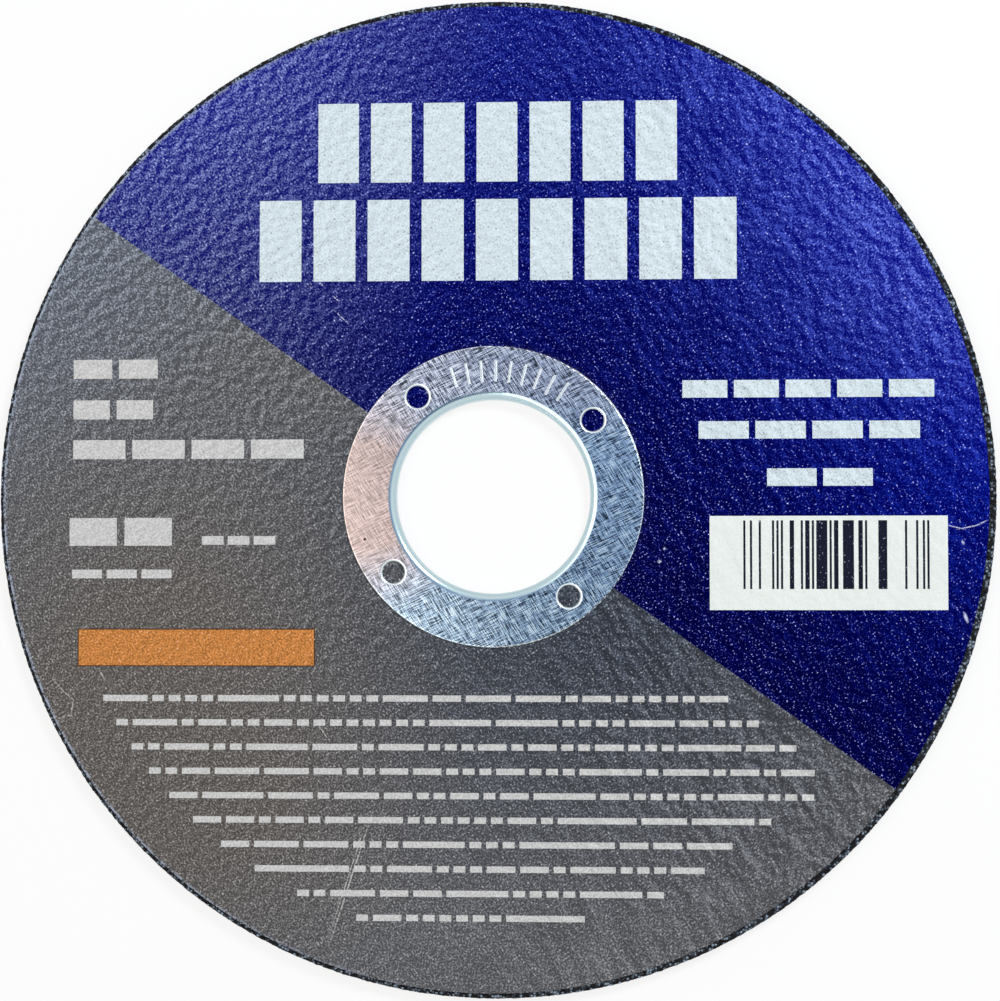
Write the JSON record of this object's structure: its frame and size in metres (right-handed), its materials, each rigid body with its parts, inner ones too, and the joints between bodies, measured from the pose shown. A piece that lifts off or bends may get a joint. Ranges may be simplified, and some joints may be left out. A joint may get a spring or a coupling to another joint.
{
  "type": "cut off wheel",
  "caption": "Thin round resin bonded abrasive wheel with a paper label and a stamped steel ring in its bore, for cutting metal on an angle grinder.",
  "frame": {"origin": "on the bore's axis, at the wheel's back face", "axes": "+Z along the bore's axis, out of the label; +X to the right of the label as it is read"},
  "size_m": [0.1142, 0.1142, 0.0018],
  "materials": {
    "abrasive": "rough bonded grain",
    "label": "printed paper, pressed over grit",
    "ring": "zinc plated"
  },
  "bodies": {
    "root": {"abrasive_disc": "abrasive", "paper_label": "label", "arbor_ring": "ring"}
  },
  "joints": []
}
